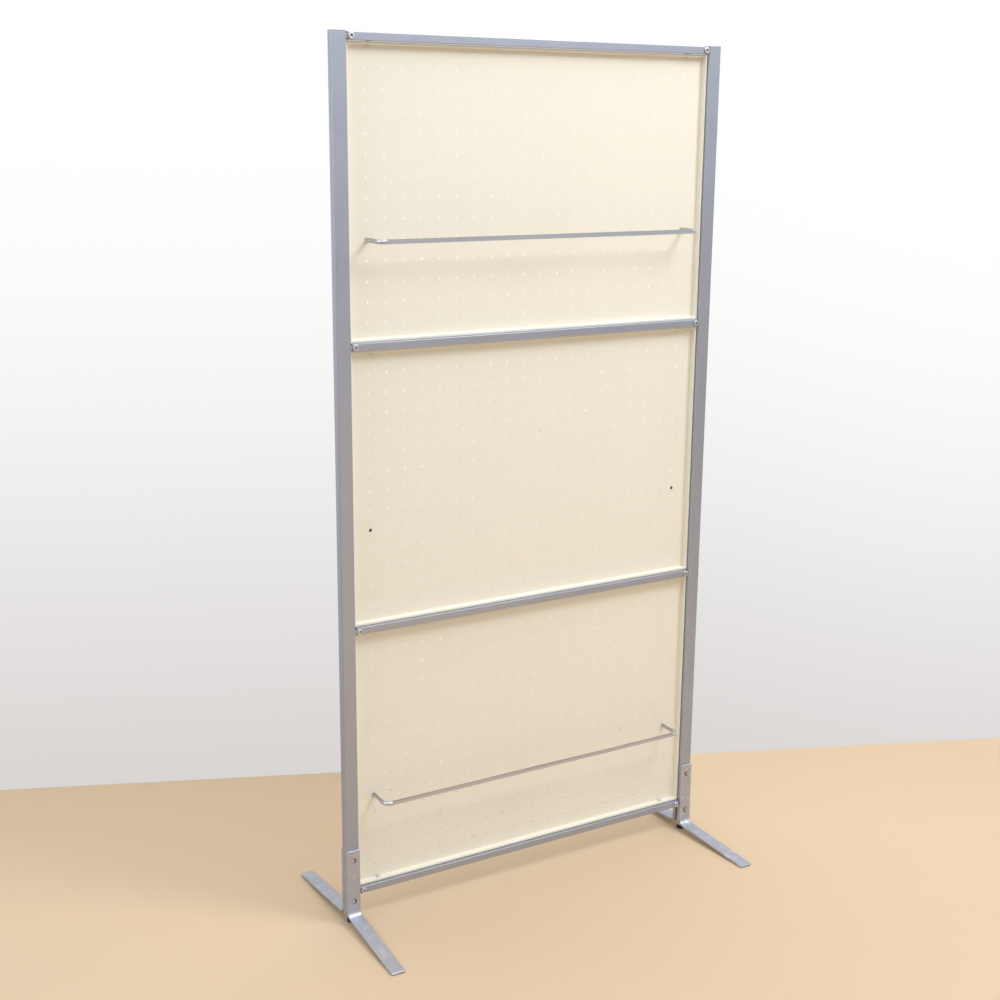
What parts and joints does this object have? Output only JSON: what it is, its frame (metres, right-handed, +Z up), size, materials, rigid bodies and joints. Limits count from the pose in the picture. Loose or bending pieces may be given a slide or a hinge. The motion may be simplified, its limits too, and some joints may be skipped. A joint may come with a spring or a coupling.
{
  "type": "pegboard display stand",
  "caption": "Free-standing two-post display stand with perforated peg trays between rails, two bent rod bars in front, L-shaped feet and screwed levellers.",
  "frame": {"origin": "on the floor, in the middle of the stand, midway between the posts' centre lines", "axes": "+X across the stand to its right as seen from the front, -Y to the front where the bars stand out, +Z up along the posts"},
  "size_m": [0.9272, 0.4744, 1.82],
  "materials": {
    "frame_paint": "satin grey paint over steel tube",
    "foot_paint": "satin grey paint over flat steel bar",
    "tray_paint": "warm white satin paint over sheet steel",
    "bar_finish": "satin grey paint over round steel rod",
    "zinc": "zinc-plated steel",
    "yellow_zinc": "yellow-passivated zinc-plated steel",
    "cap_plastic": "grey moulded plastic",
    "black_plastic": "black moulded plastic",
    "black_rubber": "black rubber",
    "dark_plastic": "dark moulded plastic"
  },
  "bodies": {
    "frame": {"left_post": "frame_paint", "left_post_cap": "cap_plastic", "left_leveller_socket": "black_plastic", "left_front_foot": "foot_paint", "left_back_foot": "foot_paint", "right_post": "frame_paint", "right_post_cap": "cap_plastic", "right_leveller_socket": "black_plastic", "right_front_foot": "foot_paint", "right_back_foot": "foot_paint", "bottom_rail": "frame_paint", "lower_middle_rail": "frame_paint", "upper_middle_rail": "frame_paint", "top_rail": "frame_paint", "bottom_panel": "tray_paint", "middle_panel": "tray_paint", "top_panel": "tray_paint", "lower_bar": "bar_finish", "upper_bar": "bar_finish", "rail_connectors": "zinc", "rail_lock_screws": "zinc", "tray_screws": "zinc", "tray_spacers": "zinc", "bar_screws": "zinc", "bar_washers": "zinc", "foot_bolts": "yellow_zinc", "foot_rivet_nuts": "yellow_zinc", "blanking_plugs": "dark_plastic"},
    "left_pad": {"left_leveller_pad": "black_rubber"},
    "left_stem": {"left_leveller_stem": "zinc"},
    "right_pad": {"right_leveller_pad": "black_rubber"},
    "right_stem": {"right_leveller_stem": "zinc"}
  },
  "joints": [
    {"name": "left_pad_slide", "type": "slide", "parent": "frame", "child": "left_pad", "axis": [0, 0, 1], "range_m": [-0.006, 0.004]},
    {"name": "left_stem_turn", "type": "hinge", "parent": "left_pad", "child": "left_stem", "pos_m": [-0.4403, 0, 0], "axis": [0, 0, 1], "range_deg": [-1725, 1150]},
    {"name": "right_pad_slide", "type": "slide", "parent": "frame", "child": "right_pad", "axis": [0, 0, 1], "range_m": [-0.006, 0.004]},
    {"name": "right_stem_turn", "type": "hinge", "parent": "right_pad", "child": "right_stem", "pos_m": [0.4403, 0, 0], "axis": [0, 0, 1], "range_deg": [-1725, 1150]}
  ],
  "couplings": [
    {"joint": "left_pad_slide", "follows": "left_stem_turn", "m_per_rad": 0.00019894},
    {"joint": "right_pad_slide", "follows": "right_stem_turn", "m_per_rad": 0.00019894}
  ]
}
